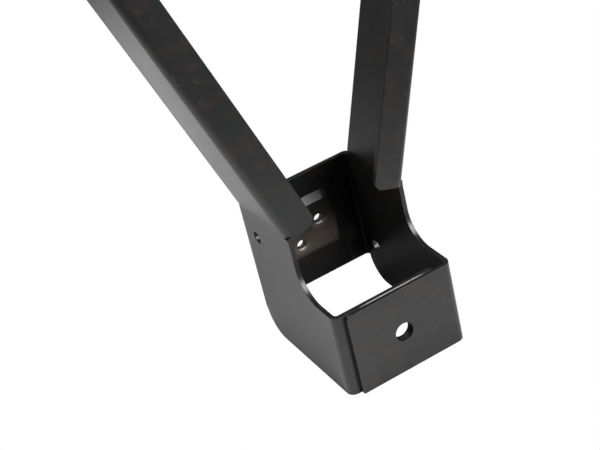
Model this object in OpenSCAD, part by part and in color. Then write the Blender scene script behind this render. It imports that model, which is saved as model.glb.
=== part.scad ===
// V section of a folded-steel lighting truss.
// A box-shaped node at the bottom takes a post, and two angle-section arms spread upwards from it.
// The origin is at the middle of the node's footprint, at the level of its bottom edges.
// +Z is up and -Y faces the front, where the wall is two sheets thick.

/* [Node] */
// Width over the two side plates
node_w = 70; // [60:1:90]
// Depth from the front face to the back face
node_d = 90; // [78:1:115]
// Height of the front wall
front_h = 49; // [40:0.5:56]
// Height of the line where the side plates turn outwards into the arms
fold_z = 81.5; // [76:0.5:98]
// Height of the back wall's lower edge above the bottom of the side plates
back_z = 13.5; // [10:0.5:18]
// Distance from the back wall's upper edge up to the fold line
back_drop = 1.5; // [1.4:0.1:6]
// Depth from the front face to the neck, where the side plates are cut away
neck_depth = 33.5; // [28:0.5:42]
// Radius in the corner of that cut-away
neck_r = 16; // [10:1:18]
// How far the cut edge of the right side stands behind the face of its arm
right_neck_back = 1.8; // [0:0.1:3]
// Radius of the side plates' bottom back corners
heel_r = 14.5; // [8:0.5:18]

/* [Sheet] */
// Thickness of the sheet
sheet_t = 2.5; // [2:0.1:3.2]
// Inside radius of the square bends
bend_in_r = 2; // [1:0.1:2.4]
// Radius on the hollow side of the fold that spreads each arm
fold_in_r = 8; // [4:0.5:12]
// Clearance between the two sheets of the front wall
lap_clear = 0.15; // [0.05:0.05:0.4]

/* [Arms] */
// Angle of each arm from the vertical
arm_splay = 18.5; // [12:0.5:25]
// Length of each arm along its outer face, from the fold line
arm_len = 232; // [150:1:320]
// Width of each arm's front flange
flange_w = 18; // [15:0.5:24]
// Radius of the flange's free corners
flange_corner_r = 5; // [2:0.5:8]
// How far the flange reaches below the fold line
flange_drop = 1.5; // [0:0.1:3]

/* [Tabs and back] */
// Distance of the outer tab's free edge from the far side face
outer_tab_stop = 6; // [4.8:0.1:9]
// Radius of the outer tab's free corners
outer_tab_r = 2.6; // [1:0.1:6]
// Rounding of the foot corner of either tab
tab_foot_r = 1; // [0.5:0.1:4]
// Distance of the inner tab's free edge from the far side face
inner_tab_stop = 8; // [7.5:0.1:14]
// Radius of the inner tab's free corners
inner_tab_r = 4; // [1:0.5:8]
// Width of each back return, from the side face to the middle of its weld
return_w = 12; // [9:0.5:15]
// Width of the flat top of the pressed pad
pad_w = 30; // [24:0.5:32]
// Height of the flat top of the pressed pad
pad_h = 28; // [24:0.5:32]
// Height of the pad's middle
pad_z = 48; // [44:0.5:50]
// How far the pad is pressed into the node
pad_rise = 2.5; // [1:0.1:3]
// Width of the slope round the pad
pad_slope = 4.5; // [2:0.1:5]
// Corner radius of the pad's flat top
pad_r = 4; // [2:0.5:8]

/* [Holes] */
// Diameter of the front bolt hole
bolt_d = 10.5; // [8:0.1:14]
// Distance of the front bolt hole from the middle of the front wall
bolt_x = 0.75; // [-4:0.25:4]
// Height of the front bolt hole
bolt_z = 23.5; // [14:0.5:34]
// Diameter of the screw hole in each side plate
side_screw_d = 7; // [4:0.1:9]
// Distance of the left screw hole from the back face
left_screw_back = 17; // [12:0.5:30]
// Height of the left screw hole
left_screw_z = 66; // [58:0.5:70]
// Distance of the right screw hole from the back face
right_screw_back = 14; // [12:0.5:30]
// Height of the right screw hole
right_screw_z = 23.5; // [20:0.5:34]
// Diameter of the two screw holes in the back plate
back_screw_d = 5.5; // [4:0.1:8]
// Distance between the two back screw holes
back_screw_pitch = 17; // [12:0.5:24]
// Angle of the line through the back screw holes, from the horizontal
back_screw_angle = 39; // [0:1:90]
// Height of the middle of the back screw holes
back_screw_z = 46; // [42:0.5:50]
// Wall of the collar drawn out behind each of those holes
collar_wall = 1.5; // [1:0.1:2.5]
// How far the collar stands behind the pad
collar_len = 1.5; // [0.5:0.1:2.3]
// Diameter of the bolt holes at the far end of each arm
end_bolt_d = 9; // [6:0.1:13]
// Distance between the two end bolt holes
end_bolt_pitch = 25; // [18:1:40]
// Distance of the outermost end bolt hole from the end of the arm
end_bolt_inset = 15; // [10:0.5:25]

/* [Welds] */
// Width of a back weld at the back face
seam_mouth = 4.5; // [3:0.1:6]
// Width of a back weld at its root
seam_root = 1; // [0.5:0.1:2]
// Leg of the fillet weld at the inner tab's free edge
fillet_leg = 2.8; // [2:0.1:3]
// Distance of that weld's ends from the edges of the front wall
fillet_inset = 6; // [4:0.5:12]

/* [Hidden] */
$fn = 64;
hull_fn = 32;
coat_black = [0.07, 0.07, 0.072];
weld_black = [0.16, 0.16, 0.165];
cut_past = 1;                                   // how far a cutter runs past the face that it opens
bite = 0.2;                                     // how far folds and collars reach into the flat sheet
foot_inset = 0.1;                               // how much thinner the foot of an arm bend is, each side

half_w = node_w / 2;
front_y = -node_d / 2;
back_y = node_d / 2;
neck_y = front_y + neck_depth;
bend_r = bend_in_r + sheet_t;
bend_x = half_w - bend_r;                       // centre line of the upright bends
back_bend_y = back_y - bend_r;
inner_tab_setback = sheet_t + lap_clear;
back_in_y = back_y - sheet_t;
back_h = fold_z - back_drop - back_z;
seam_x = half_w - return_w;
fold_run = fold_in_r * tan(arm_splay / 2);      // from the fold line to where the curve ends
arm_end = arm_len - fold_run;
web_mid_y = (neck_y + back_bend_y) / 2;

// The waste outside a rounded corner, for an arc that is centred on the origin.
module corner_waste(r) {
    difference() {
        square(r + cut_past);
        circle(r);
    }
}

// A sheet that stands across X. Its outline is drawn in Y and Z.
module sheet_across_x(x) {
    translate([x, 0, 0]) rotate([90, 0, 90]) linear_extrude(sheet_t) children();
}

// A sheet that stands across Y. Its outline is drawn in X and Z.
module sheet_across_y(y) {
    translate([0, y + sheet_t, 0]) rotate([90, 0, 0]) linear_extrude(sheet_t) children();
}

// A square upright bend round the Z axis, which starts at the given angle.
module square_bend(start, height) {
    rotate([0, 0, start]) rotate_extrude(angle = 90) translate([bend_in_r, 0]) square([sheet_t, height]);
}

// A hole through one or more sheets, along the given direction from its middle.
module hole(d, length) {
    cylinder(d = d, h = length, center = true);
}

// Carries its children from the arm's own frame to its place: Z runs along the arm from the end of the
// fold, and X is 0 on the outer face.
module along_arm() {
    translate([half_w + fold_in_r, 0, fold_z - fold_run])
        rotate([0, arm_splay, 0]) translate([-fold_in_r, 0, 0]) children();
}

module front_tab(setback, stop, corner_r) {
    free_x = stop - half_w;
    sheet_across_y(front_y + setback) difference() {
        translate([free_x, 0]) square([bend_x - free_x, front_h]);
        translate([free_x + corner_r, front_h - corner_r]) rotate(90) corner_waste(corner_r);
        translate([free_x + tab_foot_r, tab_foot_r]) rotate(180) corner_waste(tab_foot_r);
    }
    translate([bend_x, front_y + setback + bend_r, 0]) square_bend(270, front_h);
}

module side_plate(setback, neck_back) {
    start_y = front_y + setback + bend_r;
    top_z = fold_z - fold_run + bite;
    sheet_across_x(half_w - sheet_t) difference() {
        translate([start_y, 0]) square([back_bend_y - start_y, top_z]);
        translate([front_y, front_h]) square([neck_depth + neck_back - neck_r, top_z]);
        translate([front_y, front_h + neck_r]) square([neck_depth + neck_back, top_z]);
        translate([neck_y + neck_back - neck_r, front_h + neck_r]) circle(neck_r);
        translate([back_bend_y - heel_r, heel_r]) rotate(270) corner_waste(heel_r);
    }
}

module back_return() {
    translate([bend_x, back_bend_y, back_z]) square_bend(0, back_h);
    translate([0, 0, back_z]) linear_extrude(back_h) polygon([
        [bend_x, back_in_y], [bend_x, back_y],
        [seam_x + seam_mouth / 2, back_y], [seam_x + seam_root / 2, back_in_y]]);
}

module arm(neck_back) {
    // the fold that spreads the arm
    translate([half_w + fold_in_r, back_bend_y, fold_z - fold_run])
        rotate([90, 0, 0]) rotate([0, 0, 180 - arm_splay])
        rotate_extrude(angle = arm_splay) translate([fold_in_r, 0])
        square([sheet_t, back_bend_y - neck_y - neck_back]);
    along_arm() {
        // web
        sheet_across_x(-sheet_t) difference() {
            translate([neck_y + bend_r, -bite]) square([back_bend_y - neck_y - bend_r, arm_end + bite]);
            translate([back_bend_y - flange_corner_r, arm_end - flange_corner_r])
                corner_waste(flange_corner_r);
        }
        // bend between web and flange; its foot runs down inside the fold, a little thinner than the sheet
        flange_z = -fold_run - flange_drop;
        translate([-bend_r, neck_y + bend_r, 0]) square_bend(270, arm_end);
        translate([-bend_r, neck_y + bend_r, flange_z]) rotate(270) rotate_extrude(angle = 90)
            translate([bend_in_r + foot_inset, 0]) square([sheet_t - 2 * foot_inset, foot_inset - flange_z]);
        // front flange
        sheet_across_y(neck_y) difference() {
            translate([-flange_w, flange_z]) square([flange_w - bend_r, arm_end - flange_z]);
            translate([flange_corner_r - flange_w, flange_z + flange_corner_r])
                rotate(180) corner_waste(flange_corner_r);
            translate([flange_corner_r - flange_w, arm_end - flange_corner_r])
                rotate(90) corner_waste(flange_corner_r);
        }
    }
}

module end_bolt_holes() {
    for (place = [0, 1])
        along_arm() translate([-sheet_t / 2, web_mid_y, arm_end - end_bolt_inset - place * end_bolt_pitch])
            rotate([0, 90, 0]) hole(end_bolt_d, sheet_t + 2 * cut_past);
}

// One folded sheet: front tab, side plate, back return and arm. It is drawn for the right side.
module arm_frame(setback, stop, corner_r, neck_back, hole_x, screw_back, screw_z) {
    difference() {
        union() {
            front_tab(setback, stop, corner_r);
            side_plate(setback, neck_back);
            back_return();
            arm(neck_back);
        }
        translate([hole_x, front_y + setback + sheet_t / 2, bolt_z])
            rotate([90, 0, 0]) hole(bolt_d, sheet_t + 2 * cut_past);
        translate([half_w - sheet_t / 2, back_y - screw_back, screw_z])
            rotate([0, 90, 0]) hole(side_screw_d, sheet_t + 2 * cut_past);
        end_bolt_holes();
    }
}

module left_arm_frame() {
    color(coat_black) mirror([1, 0, 0])
        arm_frame(inner_tab_setback, inner_tab_stop, inner_tab_r, 0, -bolt_x, left_screw_back, left_screw_z);
}

module right_arm_frame() {
    color(coat_black)
        arm_frame(0, outer_tab_stop, outer_tab_r, right_neck_back, bolt_x, right_screw_back, right_screw_z);
}

// A rectangle with rounded corners, standing across Y with its middle at the pad's middle.
module pad_layer(y, w, h, r) {
    translate([0, y, pad_z]) rotate([90, 0, 0])
        for (sx = [-1, 1], sz = [-1, 1])
            translate([sx * (w / 2 - r), sz * (h / 2 - r), 0]) cylinder(r = r, h = 0.01, $fn = hull_fn);
}

// The pressed shape of the pad, from the given face of the plate towards the front.
module pad_press(face_y) {
    hull() {
        pad_layer(face_y, pad_w + 2 * pad_slope, pad_h + 2 * pad_slope, pad_r + pad_slope);
        pad_layer(face_y - pad_rise, pad_w, pad_h, pad_r);
    }
}

// Puts its children at both back screws, lying along Y with their middles at the given depth.
module at_back_screws(y) {
    for (side = [-1, 1])
        translate([0, y, back_screw_z])
            rotate([0, -back_screw_angle, 0]) translate([side * back_screw_pitch / 2, 0, 0])
            rotate([90, 0, 0]) children();
}

module back_plate() {
    color(coat_black) difference() {
        union() {
            difference() {
                union() {
                    translate([0, 0, back_z]) linear_extrude(back_h) polygon([
                        [seam_root / 2 - seam_x, back_in_y], [seam_x - seam_root / 2, back_in_y],
                        [seam_x - seam_mouth / 2, back_y], [seam_mouth / 2 - seam_x, back_y]]);
                    pad_press(back_in_y);
                }
                pad_press(back_y);
            }
            at_back_screws(back_y - pad_rise + (collar_len - bite) / 2)
                hole(back_screw_d + 2 * collar_wall, collar_len + bite);
        }
        at_back_screws(back_y - pad_rise) hole(back_screw_d, 2 * (sheet_t + pad_rise));
    }
}

// Butt weld between a back return and the back plate, ground flush at the back. Drawn for the right side.
module back_weld() {
    color(weld_black) translate([0, 0, back_z]) linear_extrude(back_h) polygon([
        [seam_x - seam_root / 2, back_in_y], [seam_x + seam_root / 2, back_in_y],
        [seam_x + seam_mouth / 2, back_y], [seam_x - seam_mouth / 2, back_y]]);
}

module right_back_weld() {
    back_weld();
}

module left_back_weld() {
    mirror([1, 0, 0]) back_weld();
}

// Fillet weld that holds the inner tab's free edge to the outer tab, inside the node.
module front_lap_weld() {
    tab_x = half_w - inner_tab_stop;
    outer_in_y = front_y + sheet_t;
    color(weld_black) translate([0, 0, fillet_inset]) linear_extrude(front_h - 2 * fillet_inset) polygon([
        [tab_x, outer_in_y], [tab_x + fillet_leg, outer_in_y], [tab_x, outer_in_y + fillet_leg]]);
}

left_arm_frame();
right_arm_frame();
back_plate();
left_back_weld();
right_back_weld();
front_lap_weld();
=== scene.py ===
"""Looks of the folded-steel truss section: fine-textured black powder coat on every sheet and weld."""
import math

import bpy
from mathutils import Matrix, Vector


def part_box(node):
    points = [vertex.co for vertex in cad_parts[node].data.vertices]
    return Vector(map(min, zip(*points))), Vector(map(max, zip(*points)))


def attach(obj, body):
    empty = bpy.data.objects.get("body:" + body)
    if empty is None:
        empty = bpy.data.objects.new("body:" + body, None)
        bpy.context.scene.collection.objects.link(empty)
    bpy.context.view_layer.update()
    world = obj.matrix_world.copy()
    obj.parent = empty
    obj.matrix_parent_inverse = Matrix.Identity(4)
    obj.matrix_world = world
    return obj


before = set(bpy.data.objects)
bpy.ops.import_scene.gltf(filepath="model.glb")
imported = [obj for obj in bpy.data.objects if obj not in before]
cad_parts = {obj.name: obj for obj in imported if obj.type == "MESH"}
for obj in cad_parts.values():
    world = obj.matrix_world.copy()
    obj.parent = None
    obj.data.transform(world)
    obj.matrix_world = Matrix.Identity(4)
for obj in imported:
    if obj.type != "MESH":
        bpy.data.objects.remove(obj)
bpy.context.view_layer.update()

ARMS = ("left_arm_frame", "right_arm_frame")
WELDS = ("left_back_weld", "right_back_weld", "front_lap_weld")

# Camera: where it looks, from which side and height, and how it is tilted
TARGET = Vector((-0.0126, 0.0216, 0.0654))
AZIMUTH, ELEVATION, ROLL = math.radians(-22.87), math.radians(32.29), math.radians(14.15)
DISTANCE = 0.8
FOCAL_MM = 91.8
SENSOR_MM = 36.0

# Rounding that the coat gives to every cut edge
EDGE_RADIUS = 0.00035

# Mesh clean-up: points closer than this are one, faces and bends under these angles are flat and smooth
JOIN_GAP = 8e-6
FLAT_ANGLE, SMOOTH_ANGLE = math.radians(0.3), math.radians(24)

# Colours of the coat and its random brown and green tints, then the painted glint, painted highlight and
# painted reflection colours
COAT_DARK, COAT_PALE, SPECK_GLINT_GREY, PALE_HIGHLIGHT_GREY = 0.006, 0.009, 0.12, 0.30
BROWN_TINT = (0.0172, 0.0124, 0.0102, 1.0)
GREEN_TINT = (0.0062, 0.0080, 0.0072, 1.0)
REFLECTION_BROWN = (0.062, 0.050, 0.043, 1.0)
HALO_HIGHLIGHT_COLOUR = (0.13, 0.112, 0.10, 1.0)
RIM_HIGHLIGHT_COLOUR = (0.62, 0.61, 0.59, 1.0)

# Gloss and relief of the coat
COAT_ROUGHNESS, SAWN_ROUGHNESS, BORE_ROUGHNESS = 0.31, 0.35, 0.35
GRAIN_DEPTH = 0.00005
NOISE_ROUGHNESS = 0.55

# The raised pad: where its face and its lower and upper edges lie
PAD_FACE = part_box("back_plate")[0][1]
PAD_LOW, PAD_HIGH = 0.034, 0.062
SCREW_PITCH, SCREW_TILT, SCREW_HEIGHT = 0.017, math.radians(39), 0.046
# Radius where the painted rim highlight of each screw hole lies, and the radius of the bore
SCREW_RIM, SCREW_BORE = 0.0029, 0.00276

# How far the arms lean outwards
ARM_LEAN = math.radians(18.5)

# The lap of the front wall
SHEET, LAP_CLEAR, FRONT_TOP = 0.0025, 0.00015, 0.049
SEAM_INSET, SEAM_HALF, SEAM_SINK = 0.0095, 0.00040, 0.00004

# Stage: a floor white to the camera; in the coat's reflections a painted pool of light round the object
# fades to a darker floor, with a painted shadow under the object, in a dim room
POOL_MIDDLE = (-0.05, 0.12)
POOL_INNER, POOL_OUTER = 0.195, 0.42
POOL_CENTRE_LEVEL, POOL_OUTSIDE_LEVEL = 0.84, 0.10
ROOM_LEVEL = 0.05
UNDER_SHADOW_MIDDLE = 0.028
FLOOR_HALF = 4.0
LIGHT_AIM = Vector((0, 0, 0.08))


# ---- shader maths -------------------------------------------------------------------------------

class Value:
    """A shader socket that can be used in Python expressions."""

    def __init__(self, tree, socket):
        self.tree = tree
        self.socket = socket

    def _math(self, operation, *inputs):
        node = self.tree.nodes.new("ShaderNodeMath")
        node.operation = operation
        for slot, item in zip(node.inputs, inputs):
            if isinstance(item, Value):
                self.tree.links.new(item.socket, slot)
            else:
                slot.default_value = item
        return Value(self.tree, node.outputs[0])

    def __add__(self, other): return self._math("ADD", self, other)
    def __radd__(self, other): return self._math("ADD", other, self)
    def __sub__(self, other): return self._math("SUBTRACT", self, other)
    def __rsub__(self, other): return self._math("SUBTRACT", other, self)
    def __mul__(self, other): return self._math("MULTIPLY", self, other)
    def __rmul__(self, other): return self._math("MULTIPLY", other, self)
    def __truediv__(self, other): return self._math("DIVIDE", self, other)
    def __pow__(self, other): return self._math("POWER", self, other)

    def __abs__(self): return self._math("ABSOLUTE", self)

    def clamp(self, low=0.0, high=1.0):
        return self._math("MAXIMUM", self._math("MINIMUM", self, high), low)


class Finish:
    """A node material, built with expressions."""

    def __init__(self, name):
        self.material = bpy.data.materials.new(name)
        self.material.use_nodes = True
        self.tree = self.material.node_tree
        self.tree.nodes.clear()
        self.output = self.tree.nodes.new("ShaderNodeOutputMaterial")
        self.place = self.node("ShaderNodeTexCoord").outputs["Object"]

    def node(self, kind, settings=None, **sockets):
        node = self.tree.nodes.new(kind)
        for key, value in (settings or {}).items():
            setattr(node, key, value)
        for key, value in sockets.items():
            socket = node.inputs[key.replace("_", " ")]
            if isinstance(value, Value):
                self.tree.links.new(value.socket, socket)
            elif isinstance(value, bpy.types.NodeSocket):
                self.tree.links.new(value, socket)
            else:
                socket.default_value = value
        return node

    def value(self, kind, settings=None, out=0, **sockets):
        return Value(self.tree, self.node(kind, settings, **sockets).outputs[out])

    def noise(self, scale, detail):
        return self.value("ShaderNodeTexNoise", out="Fac", Vector=self.place, Scale=scale,
                          Detail=detail, Roughness=NOISE_ROUGHNESS)

    def blend(self, fac, first, second):
        node = self.node("ShaderNodeMix", {"data_type": "RGBA"})
        for index, item in ((0, fac), (6, first), (7, second)):
            if isinstance(item, Value):
                self.tree.links.new(item.socket, node.inputs[index])
            else:
                node.inputs[index].default_value = item
        return Value(self.tree, node.outputs[2])


def grey(level):
    return (level, level, level, 1.0)


def smooth_step(value, low, high):
    """0 below low, 1 above high, with a soft rise between them."""
    part = ((value - low) / (high - low)).clamp()
    return part * part * (3 - 2 * part)


def powder_coat(name, reflection_patch=None, sawn_at=None, highlight_paleness=0.0, texture=0.25):
    """Fine-textured black powder coat.

    Its second argument, a function of east, north and height, may give where a painted reflection lightens
    the coat brown, with painted highlights at the screw holes; sawn_at how far up the arm its sawn end
    lies, the paleness argument how far the coat is painted pale as a highlight and texture how deep its
    grain is.
    """
    finish = Finish(name)
    clouds = finish.noise(28.0, detail=4.0)
    patches = finish.noise(95.0, detail=2.0)
    peel = finish.noise(900.0, detail=2.0)
    grain = finish.noise(3200.0, detail=2.0)
    dots = finish.value("ShaderNodeTexVoronoi", out="Distance", Vector=finish.place, Scale=850.0)
    # Specks in the coat's grain: their bump and gloss are the coat's own, their pale colour is a painted
    # glint of the key light
    rare = smooth_step(finish.noise(220.0, detail=2.0), 0.58, 0.68)
    glint_speck = (1 - smooth_step(dots, 0.12, 0.34)) * rare
    colour = finish.blend(clouds, grey(COAT_DARK), grey(COAT_PALE))
    colour = finish.blend(smooth_step(patches, 0.45, 0.65) * 0.6, colour, BROWN_TINT)
    colour = finish.blend(smooth_step(patches, 0.55, 0.35) * 0.5, colour, GREEN_TINT)
    colour = finish.blend(glint_speck * 0.45, colour, grey(SPECK_GLINT_GREY))
    # Paler coat where asked: a painted highlight, used on the seam bead
    colour = finish.blend(highlight_paleness, colour, grey(PALE_HIGHLIGHT_GREY))
    rough = COAT_ROUGHNESS + clouds * 0.08 + glint_speck * 0.12
    apart = finish.node("ShaderNodeSeparateXYZ", Vector=finish.place)
    east, north, height = (Value(finish.tree, apart.outputs[axis]) for axis in ("X", "Y", "Z"))
    if sawn_at:
        reach = abs(east) * math.sin(ARM_LEAN) + height * math.cos(ARM_LEAN)
        rough = rough + SAWN_ROUGHNESS * smooth_step(reach, sawn_at - 0.0005, sawn_at - 0.0001)
    # The pad is lightened brown by a painted reflection of the lit floor, most at its lower edge
    if reflection_patch:
        reflection_mask = (reflection_patch(east, north, height) * (0.55 + 0.9 * finish.noise(160.0, detail=3.0))).clamp()
        colour = finish.blend(reflection_mask, colour, REFLECTION_BROWN)
        rim_highlight, halo_highlight, bore = screw_highlights_and_bore(east, north, height)
        # Painted highlights: a light halo below each screw hole and a bright lower rim
        colour = finish.blend(halo_highlight * 0.7, colour, HALO_HIGHLIGHT_COLOUR)
        colour = finish.blend(rim_highlight, colour, RIM_HIGHLIGHT_COLOUR)
        rough = rough + reflection_mask * 0.12 + bore * BORE_ROUGHNESS
    relief = peel * 0.6 + grain * 0.4 + glint_speck * 0.5
    rounded = finish.node("ShaderNodeBevel", {"samples": 6}, Radius=EDGE_RADIUS)
    bump = finish.node("ShaderNodeBump", Height=relief, Strength=texture, Distance=GRAIN_DEPTH,
                       Normal=rounded.outputs["Normal"])
    shader = finish.node("ShaderNodeBsdfPrincipled", Base_Color=colour, Roughness=rough.clamp(),
                         Normal=bump.outputs["Normal"])
    finish.tree.links.new(shader.outputs["BSDF"], finish.output.inputs["Surface"])
    return finish.material


def pad_reflection(east, north, height):
    """The raised pad of the back plate: where a painted reflection lightens it brown, most towards its
    lower edge.
    """
    proud = 1 - smooth_step(north, PAD_FACE + 0.0003, PAD_FACE + 0.0022)
    low = 1 - smooth_step(height, PAD_LOW + 0.004, PAD_HIGH - 0.006)
    return proud * (0.08 + 0.92 * low)


def screw_highlights_and_bore(east, north, height):
    """At both screw holes: a painted highlight on the lower rim, a painted highlight halo below it, and the
    dull bore.
    """
    rim_highlights, halo_highlights, bores = 0, 0, 0
    for side in (-1, 1):
        middle_x = side * SCREW_PITCH / 2 * math.cos(SCREW_TILT)
        middle_z = SCREW_HEIGHT + side * SCREW_PITCH / 2 * math.sin(SCREW_TILT)
        away = ((east - middle_x) ** 2 + (height - middle_z) ** 2) ** 0.5
        below = middle_z - height
        ring = 1 - smooth_step(abs(away - SCREW_RIM), 0.0001, 0.0007)
        rim_highlights = rim_highlights + ring * smooth_step(below, 0.0018, 0.0029)
        halo_highlights = halo_highlights + (1 - smooth_step(away, 0.0030, 0.0070)) * smooth_step(below, 0.0, 0.0030)
        bores = bores + (1 - smooth_step(away, SCREW_BORE, SCREW_BORE + 0.00004))
    face = 1 - smooth_step(north, PAD_FACE + 0.0003, PAD_FACE + 0.0009)
    return rim_highlights * face, (halo_highlights * face).clamp(), bores.clamp()


def smooth_shading(limit):
    """A modifier tree that shades a mesh smooth and keeps every edge above the given angle sharp."""
    tree = bpy.data.node_groups.new("smooth_by_angle", "GeometryNodeTree")
    tree.interface.new_socket("Geometry", in_out="INPUT", socket_type="NodeSocketGeometry")
    tree.interface.new_socket("Geometry", in_out="OUTPUT", socket_type="NodeSocketGeometry")
    start, end = tree.nodes.new("NodeGroupInput"), tree.nodes.new("NodeGroupOutput")
    angle = tree.nodes.new("GeometryNodeInputMeshEdgeAngle")
    gentle = tree.nodes.new("FunctionNodeCompare")
    gentle.data_type, gentle.operation = "FLOAT", "LESS_THAN"
    gentle.inputs["B"].default_value = limit
    faces = tree.nodes.new("GeometryNodeSetShadeSmooth")
    edges = tree.nodes.new("GeometryNodeSetShadeSmooth")
    faces.domain, edges.domain = "FACE", "EDGE"
    tree.links.new(start.outputs[0], faces.inputs["Geometry"])
    tree.links.new(faces.outputs[0], edges.inputs["Geometry"])
    tree.links.new(angle.outputs["Unsigned Angle"], gentle.inputs["A"])
    tree.links.new(gentle.outputs[0], edges.inputs["Shade Smooth"])
    tree.links.new(edges.outputs[0], end.inputs[0])
    return tree


SMOOTH = smooth_shading(SMOOTH_ANGLE)


def dress(names, material):
    """Joins the faces of each sheet, shades its bends smooth and gives it its coat."""
    for name in names:
        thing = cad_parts[name]
        thing.data.materials.clear()
        thing.data.materials.append(material)
        join = thing.modifiers.new("join", "WELD")
        join.merge_threshold = JOIN_GAP
        flat = thing.modifiers.new("flat_faces", "DECIMATE")
        flat.decimate_type = "DISSOLVE"
        flat.angle_limit = FLAT_ANGLE
        smooth = thing.modifiers.new("smooth", "NODES")
        smooth.node_group = SMOOTH
        even = thing.modifiers.new("even_faces", "WEIGHTED_NORMAL")
        even.keep_sharp = True
        even.weight = 100


def arm_end():
    """How far up the arm its sawn end lies."""
    points = (point.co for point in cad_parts[ARMS[0]].data.vertices)
    return max(abs(point.x) * math.sin(ARM_LEAN) + point.z * math.cos(ARM_LEAN) for point in points)


dress(ARMS, powder_coat("black_powder_coat", sawn_at=arm_end()))
# The back plate's coat: a painted reflection on its pad and painted highlights at its screw holes
dress(("back_plate",), powder_coat("reflection_powder_coat", pad_reflection))
dress(WELDS, powder_coat("coated_weld"))


# ---- seam ---------------------------------------------------------------------------------------

def lap_seam():
    """The bead of coat that bridges the two sheets of the front wall along their upper edges."""
    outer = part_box("right_arm_frame")[0]
    middle_y = outer[1] + SHEET + LAP_CLEAR / 2
    start_x, end_x = outer[0] + SEAM_INSET, -outer[0] - SEAM_INSET
    mesh = bpy.data.meshes.new("front_lap_seam")
    rows, around = 48, 10
    points, faces = [], []
    for row in range(rows + 1):
        along = row / rows
        swell = min(1.0, 8 * along, 8 * (1 - along))
        swell = swell * (1 + 0.05 * math.sin(23 * along) * math.sin(61 * along))
        half = SEAM_HALF * (0.3 + 0.7 * swell)
        for step in range(around):
            turn = 2 * math.pi * step / around
            points.append((start_x + along * (end_x - start_x),
                           middle_y + half * math.cos(turn),
                           FRONT_TOP - SEAM_SINK + half * math.sin(turn)))
    for row in range(rows):
        for step in range(around):
            after = (step + 1) % around
            a, b = row * around, (row + 1) * around
            faces.append((a + step, a + after, b + after, b + step))
    faces.append(tuple(range(around)))
    faces.append(tuple(reversed(range(rows * around, (rows + 1) * around))))
    mesh.from_pydata(points, [], faces)
    mesh.validate()
    for face in mesh.polygons:
        face.use_smooth = len(face.vertices) == 4
    thing = bpy.data.objects.new("front_lap_seam", mesh)
    bpy.context.collection.objects.link(thing)
    # The bead's pale coat is a painted highlight of the key light along the lap
    mesh.materials.append(powder_coat("seam_coat", highlight_paleness=0.6, texture=0.05))
    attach(thing, "root")


lap_seam()


# ---- stage --------------------------------------------------------------------------------------

def seen(tree):
    """1 where the eye looks straight at the stage, 0 where the coat mirrors it."""
    return Value(tree, tree.nodes.new("ShaderNodeLightPath").outputs["Is Camera Ray"])


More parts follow.
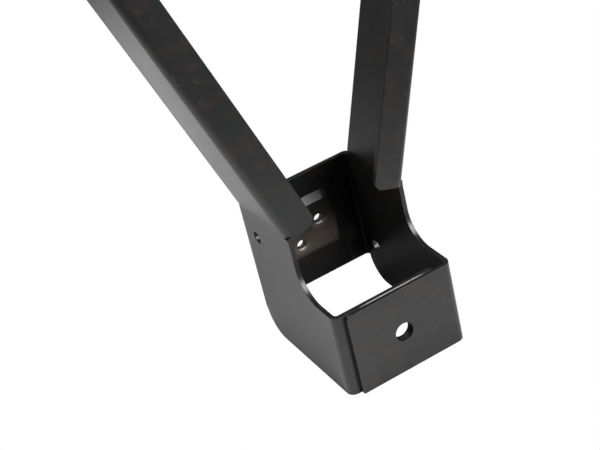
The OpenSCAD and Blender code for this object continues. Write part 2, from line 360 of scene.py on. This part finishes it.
def floor():
    mesh = bpy.data.meshes.new("floor")
    half = FLOOR_HALF
    corners = [(-half, -half, 0), (half, -half, 0), (half, half, 0), (-half, half, 0)]
    mesh.from_pydata(corners, [], [(0, 1, 2, 3)])
    thing = bpy.data.objects.new("floor", mesh)
    bpy.context.collection.objects.link(thing)
    finish = Finish("pale_floor")
    apart = finish.node("ShaderNodeSeparateXYZ", Vector=finish.place)
    east, north = (Value(finish.tree, apart.outputs[axis]) for axis in ("X", "Y"))
    across, along = abs(east), abs(north - UNDER_SHADOW_MIDDLE)
    # The floor the coat mirrors is painted with a pool of light round the object, fading to dark further
    # out
    east, north = east - POOL_MIDDLE[0], north - POOL_MIDDLE[1]
    reach = (east * east + north * north) ** 0.5
    shade = finish.value("ShaderNodeMapRange", {"interpolation_type": "SMOOTHSTEP"}, Value=reach,
                         From_Min=POOL_INNER, From_Max=POOL_OUTER, To_Min=POOL_CENTRE_LEVEL, To_Max=POOL_OUTSIDE_LEVEL)
    # Painted shadow of the object on the floor under it, seen only in the coat's reflections
    painted_shadow = (1 - smooth_step(across, 0.030, 0.038)) * (1 - smooth_step(along, 0.060, 0.075))
    # The floor as the coat mirrors it: the painted pool of light, darkened by the painted shadow
    mirrored_floor = finish.node("ShaderNodeBsdfDiffuse", Color=shade * (1 - 0.85 * painted_shadow))
    white = finish.node("ShaderNodeEmission", Color=(1.0, 1.0, 1.0, 1.0), Strength=1.0)
    both = finish.node("ShaderNodeMixShader", Fac=seen(finish.tree))
    finish.tree.links.new(mirrored_floor.outputs[0], both.inputs[1])
    finish.tree.links.new(white.outputs[0], both.inputs[2])
    finish.tree.links.new(both.outputs[0], finish.output.inputs["Surface"])
    mesh.materials.append(finish.material)


def backdrop():
    world = bpy.data.worlds.new("white")
    bpy.context.scene.world = world
    world.use_nodes = True
    shade = world.node_tree.nodes["Background"]
    shade.inputs["Color"].default_value = (1.0, 1.0, 1.0, 1.0)
    look = seen(world.node_tree)
    world.node_tree.links.new((look + (1 - look) * ROOM_LEVEL).socket, shade.inputs["Strength"])


def softbox(name, towards, reach, side, radiance):
    """A square light, placed from the object in the given direction, with the given brightness."""
    lamp = bpy.data.lights.new(name, "AREA")
    lamp.shape = "SQUARE"
    lamp.size = side
    lamp.energy = radiance * math.pi * side * side
    thing = bpy.data.objects.new(name, lamp)
    towards = Vector(towards).normalized()
    thing.location = LIGHT_AIM + towards * reach
    thing.rotation_euler = (-towards).to_track_quat("-Z", "Y").to_euler()
    thing.visible_camera = False
    bpy.context.collection.objects.link(thing)


def camera():
    lens = bpy.data.cameras.new("camera")
    lens.lens, lens.sensor_width = FOCAL_MM, SENSOR_MM
    thing = bpy.data.objects.new("camera", lens)
    forward = Vector((-math.sin(AZIMUTH) * math.cos(ELEVATION), math.cos(AZIMUTH) * math.cos(ELEVATION),
                      -math.sin(ELEVATION)))
    level = forward.cross(Vector((0, 0, 1))).normalized()
    upright = level.cross(forward)
    right = level * math.cos(ROLL) - upright * math.sin(ROLL)
    up = right.cross(forward)
    turn = Matrix((right, up, -forward)).transposed()
    thing.matrix_world = Matrix.Translation(TARGET - forward * DISTANCE) @ turn.to_4x4()
    bpy.context.collection.objects.link(thing)
    bpy.context.scene.camera = thing


floor()
backdrop()
softbox("key", towards=(0.36, -0.75, 0.54), reach=1.3, side=0.8, radiance=14.5)
softbox("rear", towards=(-0.15, 1.0, 0.30), reach=1.4, side=0.8, radiance=3.0)
softbox("overhead", towards=(-0.45, 0.3, 1.0), reach=1.5, side=0.9, radiance=7.0)
camera()
bpy.context.scene.view_settings.view_transform = "Standard"
